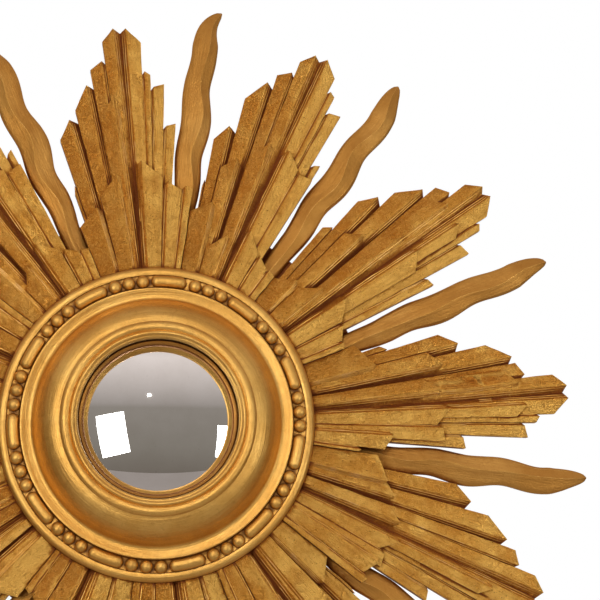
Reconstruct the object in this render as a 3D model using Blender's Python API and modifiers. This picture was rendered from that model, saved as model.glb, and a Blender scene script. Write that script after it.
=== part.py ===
"""Carved and gilded sunburst wall mirror with a small convex glass.

The mirror is modelled lying on its back on a bench: X to the right, Y up the wall, Z out
towards the room, with the wall at Z = 0. An empty then hangs it up, facing -Y. All sizes
are in metres and all angles in degrees.
"""
import bpy
import bmesh
from math import cos, exp, pi, radians, sin, sqrt
from mathutils import Vector

for leftover in list(bpy.data.objects):
    bpy.data.objects.remove(leftover, do_unlink=True)

# Clearance between pieces that lie against each other
GAP = 0.0003
MERGE = 0.00002
FLAT_ANGLE = 0.2

# Round back board that carries the rays and the frame
BOARD_RADIUS = 0.222
BOARD_THICKNESS = 0.012
BOARD_SIDES = 40

# Turned frame, member by member from the opening outwards
OPENING_RADIUS = 0.0785
SIGHT_TORUS_WIDTH = 0.0085
REED_WIDTH = 0.0095
OVOLO_WIDTH = 0.0235
HOLLOW_WIDTH = 0.0100
LIP_WIDTH = 0.0065
BEAD_BAND_WIDTH = 0.0125
RIM_WIDTH = 0.0092
FRAME_SIDES = 28

# Heights of the frame's members above the wall
SIGHT_EDGE_HEIGHT = 0.0755
SIGHT_TORUS_HEIGHT = 0.0830
SIGHT_QUIRK_HEIGHT = 0.0795
REED_HEIGHT = 0.0820
REED_QUIRK_HEIGHT = 0.0765
OVOLO_HEIGHT = 0.0778
HOLLOW_HEIGHT = 0.0432
LIP_HEIGHT = 0.0505
BAND_HEIGHT = 0.0440
RIM_HEIGHT = 0.0465
RIM_UNDERSIDE = 0.0370
RIM_OVERHANG = 0.0018

# Seat for the glass inside the frame
SEAT_WIDTH = 0.0110
SEAT_HEIGHT = 0.0587

# Beads and reels on the band
BEAD_GROUPS = 11
BEADS_PER_GROUP = 3
BEAD_RADIUS = 0.0069
BEAD_PITCH = 5.7
BEAD_SIDES = 6
REEL_RADIUS = 0.0065
REEL_SPAN = 14.6
FIRST_REEL_ANGLE = 86.5

# Convex glass: a bent sheet with a silvered back
GLASS_THICKNESS = 0.0030
GLASS_EDGE_WIDTH = 0.0010
GLASS_CURVE_RADIUS = 0.210
GLASS_SIDES = 28
GLASS_RINGS = 3

# Slip between the glass and the frame
SLIP_WIDTH = 0.0040
SLIP_EDGE_HEIGHT = 0.0018
SLIP_OUTER_HEIGHT = 0.0054
SLIP_SIDES = 28

# Rays: twelve carved bundles of slats, stepped in tiers
BUNDLE_COUNT = 12
FIRST_BUNDLE_ANGLE = 96.5
RAY_REACH = 0.4350
RAY_SLOPE = 0.047
FLANK_TIER_HEIGHT = 0.0290
OUTER_TIER_HEIGHT = 0.0325
UPPER_TIER_HEIGHT = 0.0355
MIDDLE_TIER_HEIGHT = 0.0375
INNER_TIER_HEIGHT = 0.0405
FALL_SLOPE = 40.0
SLAT_LAP = 0.25
SLAT_NOTCH = 0.005

# Flames: wavy ridged tongues between the bundles, each seated on the board's edge
FLAME_REACH = 0.4520
FLAME_SEAT = 0.0320
FLAME_ROOT_LENGTH = 0.100
FLAME_WIDTH = 0.0275
FLAME_SWELL = 0.0045
FLAME_SWELL_AT = 0.322
FLAME_SWELL_SPREAD = 0.030
FLAME_ROOT_WIDTH = 0.0185
FLAME_WIDENING_LENGTH = 0.070
FLAME_EDGE_THICKNESS = 0.0050
FLAME_RIDGE_THICKNESS = 0.0112
FLAME_TIP_LENGTH = 0.040
FLAME_TIP_BLUNTNESS = 0.06
FLAME_WAVE_LENGTH = 0.076
FLAME_WAVE_CREST_AT = 0.360
FLAME_SWAY_LATENESS = 5
FLAME_POINTS = 11

# Direction, wave and sideways sway of the tip of each flame, clockwise
FLAMES = (
    (84.1, 0.0018, -0.0158),
    (55.0, 0.0022, 0.0050),
    (23.8, 0.0016, -0.0010),
    (-7.3, 0.0020, 0.0080),
    (-36.1, 0.0020, -0.0120),
    (-66.0, 0.0022, 0.0050),
    (-95.0, 0.0016, -0.0060),
    (-126.0, 0.0022, 0.0030),
    (-157.3, 0.0020, -0.0130),
    (173.9, 0.0022, 0.0045),
    (144.2, 0.0018, -0.0060),
    (115.1, 0.0026, 0.0060),
)

# Places of the slats in a bundle, in degrees from its middle line
OUTER_EDGES = (9.1, 5.2, 2.7, 0.0, -3.0, -4.3, -6.6)
OUTER_FALLS = (1.5, 1.1, 0.5, 0.95, 0.9, 0.4, 0.5, 0.6)
OUTER_TILTS = (9.0, 5.0, 8.0, 4.0, 8.0, 5.0, 9.0, 6.0)
OUTER_SLANTS = (0.041, 0.057, 0.018, 0.032, 0.037, 0.009, -0.009, -0.007)
UPPER_PLACES = ((4.3, 1.2), (-1.1, -3.4))
UPPER_FALLS = (0.8, 0.6)
UPPER_TILTS = (7.0, 6.0)
UPPER_SLANTS = (0.037, 0.028)
MIDDLE_PLACES = ((10.3, 6.2), (5.0, 1.2), (-1.0, -4.9), (-4.9, -8.3))
MIDDLE_FALLS = (1.2, 1.0, 0.7, 0.6)
MIDDLE_TILTS = (6.0, 9.0, 7.0, 5.0)
MIDDLE_SLANTS = (0.030, 0.041, 0.034, -0.007)
INNER_SIDES = (15.9, -13.9)
INNER_EDGES = (8.6, 2.4, -0.8, -6.6, -11.4)
INNER_FALLS = (1.7, 1.5, 1.1, 1.2, 0.8)
INNER_TILTS = (8.0, 5.0, 7.0, 9.0, 6.0)
INNER_SLANTS = (0.032, 0.046, 0.041, 0.018, 0.005)
FLANK_FALL = 0.3
FLANK_TILT = 7.0
FLANK_SLANT = 0.016

# Five carved patterns: how far the bundle is turned from its even place, the sides of the
# outer tier in degrees from the middle line, the width of a low slat at its left flank, and
# how far the slats of each tier reach as shares of RAY_REACH, where 0 leaves a slat out
PATTERNS = (
    {
        "turn": 0.0,
        "sides": (13.3, -8.9),
        "flank": (0.8, 0.602),
        "outer": (0.763, 0.841, 0.897, 0.979, 0.977, 0.864, 0.823, 0.724),
        "upper": (0.0, 0.0),
        "middle": (0.0, 0.798, 0.0, 0.0),
        "inner": (0.529, 0.600, 0.630, 0.577, 0.570),
    },
    {
        "turn": 0.5,
        "sides": (12.9, -8.1),
        "flank": (0.6, 0.602),
        "outer": (0.747, 0.885, 0.931, 0.998, 1.000, 0.926, 0.874, 0.736),
        "upper": (0.0, 0.0),
        "middle": (0.667, 0.733, 0.736, 0.692),
        "inner": (0.543, 0.476, 0.508, 0.462, 0.446),
    },
    {
        "turn": -0.15,
        "sides": (12.8, -8.6),
        "flank": (2.0, 0.637),
        "outer": (0.770, 0.867, 0.915, 0.993, 0.995, 0.929, 0.857, 0.740),
        "upper": (0.892, 0.883),
        "middle": (0.671, 0.747, 0.754, 0.0),
        "inner": (0.471, 0.506, 0.538, 0.494, 0.478),
    },
    {
        "turn": -1.1,
        "sides": (13.2, -9.1),
        "flank": (1.6, 0.575),
        "outer": (0.747, 0.869, 0.892, 0.993, 0.993, 0.917, 0.878, 0.726),
        "upper": (0.874, 0.887),
        "middle": (0.692, 0.676, 0.694, 0.674),
        "inner": (0.531, 0.0, 0.0, 0.552, 0.478),
    },
    {
        "turn": -0.3,
        "sides": (13.2, -8.9),
        "flank": (0.0, 0.0),
        "outer": (0.761, 0.867, 0.913, 0.991, 0.984, 0.915, 0.864, 0.740),
        "upper": (0.0, 0.874),
        "middle": (0.579, 0.611, 0.625, 0.607),
        "inner": (0.552, 0.0, 0.0, 0.605, 0.602),
    },
)

# Sizes that follow from the ones above
FRAME_RADIUS = (OPENING_RADIUS + SIGHT_TORUS_WIDTH + REED_WIDTH + OVOLO_WIDTH + HOLLOW_WIDTH
                + LIP_WIDTH + BEAD_BAND_WIDTH + RIM_WIDTH)
CARRIED_FROM = BOARD_THICKNESS + GAP
RAY_ROOT = FRAME_RADIUS + GAP
FLAME_TOP = CARRIED_FROM + FLAME_RIDGE_THICKNESS * (FLAME_WIDTH + FLAME_SWELL) / FLAME_WIDTH
CHANNEL_ROOF = FLAME_TOP + GAP
GLASS_RADIUS = OPENING_RADIUS - GLASS_EDGE_WIDTH
GLASS_BACK_EDGE = SEAT_HEIGHT + GAP
FLAME_ROOT = BOARD_RADIUS - FLAME_SEAT
BAND_MIDDLE = FRAME_RADIUS - RIM_WIDTH - BEAD_BAND_WIDTH / 2


def add_collection(name):
    collection = bpy.data.collections.new(name)
    bpy.context.scene.collection.children.link(collection)
    return collection


MIRROR = add_collection("sunburst_mirror")
CUTTERS = add_collection("cutters")


def make_material(name, colour, roughness, metallic):
    material = bpy.data.materials.new(name)
    material.use_nodes = True
    shader = material.node_tree.nodes["Principled BSDF"]
    shader.inputs["Base Color"].default_value = (*colour, 1.0)
    shader.inputs["Roughness"].default_value = roughness
    shader.inputs["Metallic"].default_value = metallic
    return material


GILT_RAYS = make_material("gilt_rays", (0.45, 0.22, 0.05), 0.42, 0.9)
GILT_FRAME = make_material("gilt_frame", (0.48, 0.23, 0.05), 0.34, 0.9)
GILT_SLIP = make_material("gilt_slip", (0.27, 0.12, 0.03), 0.40, 0.85)
SILVERED_GLASS = make_material("silvered_glass", (0.86, 0.86, 0.85), 0.03, 1.0)
BOARD_WOOD = make_material("board_wood", (0.20, 0.12, 0.06), 0.75, 0.0)

HANGER = bpy.data.objects.new("hung_on_wall", None)
HANGER.rotation_euler.x = radians(90)
MIRROR.objects.link(HANGER)


def add_piece(name, mesh, material, angle=0.0):
    """Place a finished mesh as a piece of the mirror, turned about the mirror's middle."""
    piece = bpy.data.objects.new(name, mesh)
    piece.rotation_euler.z = radians(angle)
    piece.parent = HANGER
    MIRROR.objects.link(piece)
    if not mesh.materials:
        mesh.materials.append(material)
    return piece


def mesh_from(bm, name, smooth_angle=None):
    mesh = bpy.data.meshes.new(name)
    bm.to_mesh(mesh)
    bm.free()
    if smooth_angle is not None:
        mesh.shade_smooth()
        mesh.set_sharp_from_angle(angle=radians(smooth_angle))
    return mesh


def add_helper(name, mesh):
    helper = bpy.data.objects.new(name, mesh)
    helper.hide_render = True
    helper.display_type = "WIRE"
    CUTTERS.objects.link(helper)
    return helper


def evaluated_mesh(obj, name):
    """The object's mesh with its modifiers or its curve worked out and doubles welded."""
    depsgraph = bpy.context.evaluated_depsgraph_get()
    mesh = bpy.data.meshes.new_from_object(obj.evaluated_get(depsgraph))
    mesh.name = name
    bm = bmesh.new()
    bm.from_mesh(mesh)
    bmesh.ops.remove_doubles(bm, verts=bm.verts, dist=MERGE)
    bmesh.ops.dissolve_limit(bm, angle_limit=radians(FLAT_ANGLE), verts=bm.verts, edges=bm.edges)
    bmesh.ops.recalc_face_normals(bm, faces=bm.faces)
    bm.to_mesh(mesh)
    bm.free()
    return mesh


def fuse(body, extras, name):
    """Boolean union of a body with the loose solids of another mesh."""
    helper = add_helper(name + "_extras", extras)
    base = add_helper(name + "_base", body)
    union = base.modifiers.new("union", "BOOLEAN")
    union.operation = "UNION"
    union.solver = "EXACT"
    union.use_self = True
    union.object = helper
    mesh = evaluated_mesh(base, name)
    bpy.data.objects.remove(base, do_unlink=True)
    bpy.data.objects.remove(helper, do_unlink=True)
    return mesh


def turned(name, profile, material, sides, smooth_angle=35):
    """A turned piece: a closed profile of (radius, height) swept round the Z axis."""
    bm = bmesh.new()
    verts = [bm.verts.new((radius, 0.0, height)) for radius, height in profile]
    for i, vert in enumerate(verts):
        bm.edges.new((vert, verts[(i + 1) % len(verts)]))
    piece = add_piece(name, mesh_from(bm, name), material)
    screw = piece.modifiers.new("turning", "SCREW")
    screw.axis = "Z"
    screw.steps = sides
    screw.render_steps = sides
    screw.use_merge_vertices = True
    screw.merge_threshold = MERGE
    screw.use_smooth_shade = smooth_angle is not None
    return piece


def arc(middle, height, width, rise, start, end, steps):
    """Points of an elliptical arc, angles in degrees from the outward direction."""
    points = []
    for i in range(steps + 1):
        turn = radians(start + (end - start) * i / steps)
        points.append((middle + width * cos(turn), height + rise * sin(turn)))
    return points


def frame_profile():
    """The frame's section, from the sight edge out over the front, and back behind."""
    points = [(OPENING_RADIUS, SIGHT_EDGE_HEIGHT)]
    half = SIGHT_TORUS_WIDTH / 2
    middle = OPENING_RADIUS + half
    points += arc(middle, SIGHT_QUIRK_HEIGHT, half, SIGHT_TORUS_HEIGHT - SIGHT_QUIRK_HEIGHT, 150, 25, 2)
    half = REED_WIDTH / 2
    middle += SIGHT_TORUS_WIDTH / 2 + half
    points += arc(middle, SIGHT_QUIRK_HEIGHT, half, REED_HEIGHT - SIGHT_QUIRK_HEIGHT, 130, 30, 2)
    inner = middle + half
    points += [(inner, REED_QUIRK_HEIGHT)]
    points += arc(inner, HOLLOW_HEIGHT, OVOLO_WIDTH, OVOLO_HEIGHT - HOLLOW_HEIGHT, 85, 12, 4)
    half = HOLLOW_WIDTH / 2
    middle = inner + OVOLO_WIDTH + half
    points += [(middle, HOLLOW_HEIGHT)]
    points += [(middle + half, HOLLOW_HEIGHT + 0.0035)]
    half = LIP_WIDTH / 2
    middle += HOLLOW_WIDTH / 2 + half
    points += arc(middle, LIP_HEIGHT - half * 0.9, half * 0.92, half * 0.9, 125, 30, 2)
    points += [(middle + half, BAND_HEIGHT)]
    rim_from = middle + half + BEAD_BAND_WIDTH
    points += [(rim_from, BAND_HEIGHT)]
    half = RIM_WIDTH / 2
    rise = (RIM_HEIGHT - RIM_UNDERSIDE) / 2
    points += arc(rim_from + half, RIM_HEIGHT - rise, half, rise, 135, -30, 3)
    wall = FRAME_RADIUS - RIM_OVERHANG
    points += [(wall, RIM_UNDERSIDE), (wall, CARRIED_FROM)]
    seat = OPENING_RADIUS - SEAT_WIDTH
    points += [(seat, CARRIED_FROM), (seat, SEAT_HEIGHT), (OPENING_RADIUS, SEAT_HEIGHT)]
    return points


def add_bead(bm, angle):
    place = Vector((BAND_MIDDLE * cos(radians(angle)), BAND_MIDDLE * sin(radians(angle)), BAND_HEIGHT))
    made = bmesh.ops.create_uvsphere(bm, u_segments=BEAD_SIDES, v_segments=4, radius=BEAD_RADIUS)
    bmesh.ops.translate(bm, verts=made["verts"], vec=place)


def reel_mesh(angle):
    """A long reel: a bar bent round the band, with rounded ends."""
    curve = bpy.data.curves.new("reel", "CURVE")
    curve.dimensions = "3D"
    curve.bevel_depth = REEL_RADIUS
    curve.bevel_resolution = 1
    curve.use_fill_caps = True
    shape = ((-0.5, 0.4), (-0.42, 1.0), (0.0, 1.0), (0.42, 1.0), (0.5, 0.4))
    spline = curve.splines.new("POLY")
    spline.points.add(len(shape) - 1)
    for point, (share, thickness) in zip(spline.points, shape):
        turn = radians(angle + REEL_SPAN * share)
        point.co = (BAND_MIDDLE * cos(turn), BAND_MIDDLE * sin(turn), BAND_HEIGHT, 1.0)
        point.radius = thickness
    helper = add_helper("reel", curve)
    mesh = evaluated_mesh(helper, "reel")
    bpy.data.objects.remove(helper, do_unlink=True)
    return mesh


def bead_course():
    """All beads and reels of the band, as loose solids in one mesh."""
    bm = bmesh.new()
    step = 360.0 / BEAD_GROUPS
    for group in range(BEAD_GROUPS):
        reel_angle = FIRST_REEL_ANGLE + group * step
        bm.from_mesh(reel_mesh(reel_angle))
        for bead in range(BEADS_PER_GROUP):
            offset = (bead - (BEADS_PER_GROUP - 1) / 2) * BEAD_PITCH
            add_bead(bm, reel_angle + step / 2 + offset)
    return mesh_from(bm, "bead_course")


def add_frame():
    blank = turned("frame_blank", frame_profile(), GILT_FRAME, FRAME_SIDES)
    body = evaluated_mesh(blank, "frame_blank")
    bpy.data.objects.remove(blank, do_unlink=True)
    mesh = fuse(body, bead_course(), "frame_ring")
    mesh.shade_smooth()
    mesh.set_sharp_from_angle(angle=radians(35))
    add_piece("frame_ring", mesh, GILT_FRAME)


def glass_front_height(radius):
    """Height of the glass's front above the wall at a distance from its middle."""
    edge = GLASS_BACK_EDGE + GLASS_THICKNESS
    depth_edge = GLASS_CURVE_RADIUS - sqrt(GLASS_CURVE_RADIUS ** 2 - GLASS_RADIUS ** 2)
    depth = GLASS_CURVE_RADIUS - sqrt(GLASS_CURVE_RADIUS ** 2 - radius ** 2)
    return edge + depth_edge - depth


def add_glass():
    front = []
    for i in range(GLASS_RINGS + 1):
        radius = GLASS_RADIUS * i / GLASS_RINGS
        front.append((radius, glass_front_height(radius)))
    bm = bmesh.new()
    verts = [bm.verts.new((radius, 0.0, height)) for radius, height in front]
    for start, end in zip(verts, verts[1:]):
        bm.edges.new((start, end))
    glass = add_piece("mirror_glass", mesh_from(bm, "mirror_glass"), SILVERED_GLASS)
    screw = glass.modifiers.new("turning", "SCREW")
    screw.axis = "Z"
    screw.steps = GLASS_SIDES
    screw.render_steps = GLASS_SIDES
    screw.use_merge_vertices = True
    screw.merge_threshold = MERGE
    sheet = glass.modifiers.new("sheet", "SOLIDIFY")
    sheet.thickness = GLASS_THICKNESS
    sheet.offset = -1.0


def add_slip():
    inner = OPENING_RADIUS - SLIP_WIDTH
    outer = OPENING_RADIUS - GAP
    back = glass_front_height(inner) + GAP
    profile = [
        (inner, back + SLIP_EDGE_HEIGHT),
        (inner + SLIP_WIDTH * 0.35, back + SLIP_EDGE_HEIGHT * 1.6),
        (outer, back + SLIP_OUTER_HEIGHT),
        (outer, back),
        (inner, back),
    ]
    turned("slip_ring", profile, GILT_SLIP, SLIP_SIDES)


def add_board():
    bm = bmesh.new()
    bmesh.ops.create_cone(bm, cap_ends=True, segments=BOARD_SIDES, radius1=BOARD_RADIUS,
                          radius2=BOARD_RADIUS, depth=BOARD_THICKNESS)
    bmesh.ops.translate(bm, verts=bm.verts, vec=(0.0, 0.0, BOARD_THICKNESS / 2))
    add_piece("back_board", mesh_from(bm, "back_board", 35), BOARD_WOOD)


def on_ray(radius, angle, height=0.0):
    return Vector((radius * cos(radians(angle)), radius * sin(radians(angle)), height))


def chisel(bm, start, end, down, slope):
    """Plane away what lies above a plane through the line start-end, falling to one side."""
    along = (end - start).normalized()
    across = (down - down.project(along)).normalized()
    falling = across * cos(radians(slope)) - Vector((0.0, 0.0, sin(radians(slope))))
    normal = along.cross(falling).normalized()
    if normal.z < 0.0:
        normal.negate()
    cut = bmesh.ops.bisect_plane(bm, geom=bm.verts[:] + bm.edges[:] + bm.faces[:], dist=1e-7,
                                 plane_co=start, plane_no=normal, clear_outer=True)
    edges = [item for item in cut["geom_cut"] if isinstance(item, bmesh.types.BMEdge)]
    bmesh.ops.edgeloop_fill(bm, edges=edges)


def slat_solid(left, right, reach, slant, fall, tilt, floor, tier_height):
    """One slat: sawn to its outline, planed to a tilted top, chiselled down at one side.

    The crest lies on the side that is nearer to the bundle's middle line, and the low
    side falls short of the reach by the slant.
    """
    on_left = left + right > 0.0
    low = left if on_left else right
    high = right if on_left else left
    side = 1.0 if on_left else -1.0
    crest = high + side * fall
    buried = high - side * SLAT_LAP
    plan = [
        on_ray(RAY_ROOT, low),
        on_ray(RAY_ROOT, buried),
        on_ray(reach - SLAT_NOTCH, buried),
        on_ray(reach, crest),
        on_ray(reach - slant, low),
    ]
    bm = bmesh.new()
    outline = bm.faces.new([bm.verts.new(point + Vector((0.0, 0.0, floor))) for point in plan])
    raised = bmesh.ops.extrude_face_region(bm, geom=[outline])
    top = [item for item in raised["geom"] if isinstance(item, bmesh.types.BMVert)]
    bmesh.ops.translate(bm, verts=top, vec=(0.0, 0.0, tier_height * 1.5))
    tip_height = tier_height - RAY_SLOPE * (reach - RAY_ROOT)
    start = on_ray(RAY_ROOT, crest, tier_height)
    end = on_ray(reach, crest, tip_height)
    across = on_ray(1.0, crest + 90.0 * side)
    chisel(bm, start, end, across, tilt)
    chisel(bm, start, end, -across, FALL_SLOPE)
    bmesh.ops.recalc_face_normals(bm, faces=bm.faces)
    return bm


def tier(bm, places, falls, slants, tilts, reaches, floor, tier_height):
    """Add the slats of one tier to the bundle's mesh, as loose solids."""
    for (left, right), fall, slant, tilt, reach in zip(places, falls, slants, tilts, reaches):
        if reach == 0.0:
            continue
        slat = slat_solid(left, right, reach * RAY_REACH, slant * RAY_REACH, fall, tilt, floor, tier_height)
        scratch = mesh_from(slat, "slat")
        bm.from_mesh(scratch)
        bpy.data.meshes.remove(scratch)


def bundle_mesh(pattern, name):
    """A bundle of slats fused into one solid, its middle line along +X.

    The inner tier alone runs up to its neighbours, so its sides keep their even places.
    """
    left_side, right_side = pattern["sides"]
    edges = (left_side, *OUTER_EDGES, right_side)
    outer_places = tuple(zip(edges, edges[1:]))
    ground = bmesh.new()
    tier(ground, outer_places[:1], OUTER_FALLS, OUTER_SLANTS, OUTER_TILTS, pattern["outer"],
         CARRIED_FROM, OUTER_TIER_HEIGHT)
    rest = bmesh.new()
    tier(rest, outer_places[1:], OUTER_FALLS[1:], OUTER_SLANTS[1:], OUTER_TILTS[1:], pattern["outer"][1:],
         CARRIED_FROM, OUTER_TIER_HEIGHT)
    flank_width, flank_reach = pattern["flank"]
    tier(rest, ((left_side + flank_width, left_side),), (FLANK_FALL,), (FLANK_SLANT,), (FLANK_TILT,),
         (flank_reach,), CARRIED_FROM, FLANK_TIER_HEIGHT)
    tier(rest, UPPER_PLACES, UPPER_FALLS, UPPER_SLANTS, UPPER_TILTS, pattern["upper"],
         CARRIED_FROM, UPPER_TIER_HEIGHT)
    tier(rest, MIDDLE_PLACES, MIDDLE_FALLS, MIDDLE_SLANTS, MIDDLE_TILTS, pattern["middle"],
         CARRIED_FROM, MIDDLE_TIER_HEIGHT)
    left_end, right_end = (side - pattern["turn"] for side in INNER_SIDES)
    first, second, third, fourth, fifth = INNER_EDGES
    inner_places = ((left_end, first), (first, second), (third, fourth), (fourth, fifth), (fifth, right_end))
    tier(rest, inner_places, INNER_FALLS, INNER_SLANTS, INNER_TILTS, pattern["inner"],
         CHANNEL_ROOF, INNER_TIER_HEIGHT)
    return fuse(mesh_from(ground, name + "_first"), mesh_from(rest, name + "_rest"), name)


def add_bundles():
    meshes = [bundle_mesh(pattern, "bundle_pattern_%d" % (i + 1)) for i, pattern in enumerate(PATTERNS)]
    for number in range(BUNDLE_COUNT):
        turn = PATTERNS[number % len(PATTERNS)]["turn"]
        angle = FIRST_BUNDLE_ANGLE - number * 360.0 / BUNDLE_COUNT + turn
        add_piece("ray_bundle_%02d" % (number + 1), meshes[number % len(meshes)], GILT_RAYS, angle)


def clear_of_root(radius):
    """How far a flame has come out of its narrow root, from 0 to 1."""
    return min(1.0, (radius - FLAME_ROOT) / FLAME_ROOT_LENGTH)


def flame_width(radius):
    """Width of a flame at a distance from the mirror's middle."""
    swell = FLAME_SWELL * exp(-((radius - FLAME_SWELL_AT) / FLAME_SWELL_SPREAD) ** 2)
    widened = min(1.0, (radius - FLAME_ROOT) / FLAME_WIDENING_LENGTH)
    full = FLAME_ROOT_WIDTH + (FLAME_WIDTH - FLAME_ROOT_WIDTH) * widened + swell
    tip_share = max(0.0, min(1.0, (FLAME_REACH - radius) / FLAME_TIP_LENGTH))
    return full * max(FLAME_TIP_BLUNTNESS, sqrt(tip_share))


def flame_mesh(wave, sway, name):
    """A wavy tongue along +X with a flat back: a ridged profile swept along its spine."""
    ridge = bpy.data.curves.new(name + "_profile", "CURVE")
    ridge.dimensions = "2D"
    outline = ridge.splines.new("POLY")
    half = FLAME_WIDTH / 2
    corners = ((-half, 0.0), (half, 0.0), (half, FLAME_EDGE_THICKNESS), (0.0, FLAME_RIDGE_THICKNESS),
               (-half, FLAME_EDGE_THICKNESS))
    outline.points.add(len(corners) - 1)
    for point, (across, up) in zip(outline.points, corners):
        point.co = (across, up, 0.0, 1.0)
    outline.use_cyclic_u = True
    profile = add_helper(name + "_profile", ridge)
    spine = bpy.data.curves.new(name + "_spine", "CURVE")
    spine.dimensions = "3D"
    spine.twist_mode = "Z_UP"
    spine.bevel_mode = "OBJECT"
    spine.bevel_object = profile
    spine.use_fill_caps = True
    path = spine.splines.new("POLY")
    path.points.add(FLAME_POINTS - 1)
    for i, point in enumerate(path.points):
        radius = FLAME_ROOT + (FLAME_REACH - FLAME_ROOT) * i / (FLAME_POINTS - 1)
        beyond = max(0.0, (radius - FLAME_WAVE_CREST_AT) / (FLAME_REACH - FLAME_WAVE_CREST_AT))
        phase = 2 * pi * (radius - FLAME_WAVE_CREST_AT) / FLAME_WAVE_LENGTH
        beside = wave * clear_of_root(radius) * cos(phase) + sway * beyond ** FLAME_SWAY_LATENESS
        point.co = (radius, beside, CARRIED_FROM, 1.0)
        point.radius = flame_width(radius) / FLAME_WIDTH
    swept = add_helper(name + "_spine", spine)
    mesh = evaluated_mesh(swept, name)
    bpy.data.objects.remove(swept, do_unlink=True)
    bpy.data.objects.remove(profile, do_unlink=True)
    return mesh


def add_flames():
    for number, (angle, wave, sway) in enumerate(FLAMES):
        name = "flame_%02d" % (number + 1)
        add_piece(name, flame_mesh(wave, sway, name), GILT_RAYS, angle)


add_board()
add_frame()
add_glass()
add_slip()
add_bundles()
add_flames()
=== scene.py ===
"""Dressed model of a carved and gilded sunburst wall mirror, hung facing -Y."""
from math import atan2, cos, exp, hypot, pi, radians, sin, sqrt

import bpy
from mathutils import Euler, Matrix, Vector, noise
from mathutils.bvhtree import BVHTree


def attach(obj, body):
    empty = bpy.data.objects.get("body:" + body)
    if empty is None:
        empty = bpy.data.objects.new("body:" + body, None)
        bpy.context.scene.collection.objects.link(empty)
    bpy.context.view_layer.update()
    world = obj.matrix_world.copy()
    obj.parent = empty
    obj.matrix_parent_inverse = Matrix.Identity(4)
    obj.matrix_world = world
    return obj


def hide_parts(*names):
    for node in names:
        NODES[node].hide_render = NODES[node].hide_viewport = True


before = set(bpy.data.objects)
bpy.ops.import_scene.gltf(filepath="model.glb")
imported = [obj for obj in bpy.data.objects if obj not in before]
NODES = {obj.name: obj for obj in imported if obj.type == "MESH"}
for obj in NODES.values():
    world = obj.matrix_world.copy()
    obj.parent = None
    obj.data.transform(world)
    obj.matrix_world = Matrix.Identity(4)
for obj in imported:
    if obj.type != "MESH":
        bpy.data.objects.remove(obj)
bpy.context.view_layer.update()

# The waver of the hand comes out the same on every run
WAVER_SEED = 7
noise.seed_set(WAVER_SEED)

# Frame, member by member from the opening outwards: radii and heights above the wall
OPENING = 0.0785
LIP_OUT = 0.1365
BAND_OUT = 0.1490
BAND_RADIUS = (LIP_OUT + BAND_OUT) / 2
BAND_HEIGHT = 0.0440
SEAT_RADIUS = 0.0675
SEAT_HEIGHT = 0.0587
CARRIED_FROM = 0.0123
RIM_BACK = 0.1564
RIM_UNDERSIDE = 0.0370
REBATE_DEPTH = 0.0012
FRAME_FACETS = 192

# The frame's long ogee from the reeds down to the lip: radii and heights off the wall
OGEE = [
    (0.0970, 0.0768), (0.0990, 0.0766), (0.1010, 0.0761), (0.1030, 0.0754), (0.1050, 0.0745),
    (0.1070, 0.0733), (0.1090, 0.0718), (0.1110, 0.0700), (0.1130, 0.0677), (0.1150, 0.0650),
    (0.1170, 0.0617), (0.1190, 0.0578), (0.1208, 0.0536), (0.1222, 0.0502), (0.1233, 0.0482),
    (0.1245, 0.0470), (0.1260, 0.0465), (0.1280, 0.0467), (0.1300, 0.0471), (0.1320, 0.0476),
    (0.1338, 0.0483), (0.1347, 0.0485),
]

# Beads and reels
BEAD_GROUPS = 11
FIRST_REEL = 86.5
REEL_SPAN = 14.6
BEAD_PITCH = 5.7
BEAD_SIZE = 0.0069
REEL_SIZE = 0.0065
SUNK = 0.0004
REEL_LENGTHS = 26
REEL_END = 0.9
REEL_END_FULLNESS = 0.22
SPACING_WAVER = 0.25
SIZE_WAVER = 0.05

# Glass, slip and board
GLASS_RADIUS = 0.0775
GLASS_CURVE = 0.210
GLASS_BACK = 0.0590
GLASS_THICK = 0.0030
GLASS_RINGS = 40
GLASS_FACETS = 128
SLIP_INNER = 0.0745
SLIP_OUTER = 0.0782
SLIP_GAP = 0.0003
BOARD_RADIUS = 0.2218
BOARD_THICK = 0.0120
BOARD_EDGE_WIDTH = 0.0013
BOARD_EDGE_DEPTH = 0.0012
AXLE = 0.0004
RIM_FACETS = 144

# Rays: directions of the crests in a bundle, and the reeds cut down the falls beside them
BUNDLE_COUNT = 12
FIRST_BUNDLE = 96.5
BUNDLE_TURNS = (0.0, 0.5, -0.15, -1.1, -0.3)
CRESTS = (10.6, 6.3, 3.2, 0.95, -0.9, -3.4, -4.8, -7.2, 7.4, 2.1, -1.7, -5.5, 10.3, 3.9, -7.8, -12.2)
REED_SHIFTS = (0.0020, 0.0041)
REED_THICKNESS = 0.0007
REED_LENGTHS = 40
REED_STEP = 0.003
REED_SHORTEST = 5
REED_WAVER = 0.0004
REED_UPHILL = 0.0009
REED_LOWEST = CARRIED_FROM + 0.004
REED_JUMP = 0.0015
RAY_ROOT = 0.1585
FIRST_CUT = 0.150
LAST_CUT = 0.440
HALF_SPREAD = 0.084
CHISEL_STEP = 0.006
ARRIS = 0.0007

# The hand's waver: how fine the slow and the quick parts are, per metre, and how far they go
SLOW_WAVER = 55.0
QUICK_WAVER = 150.0
QUICK_SHARE = 0.45
RAY_WAVER = 0.00045
FLAT_BACK = CARRIED_FROM + 0.0015

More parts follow.
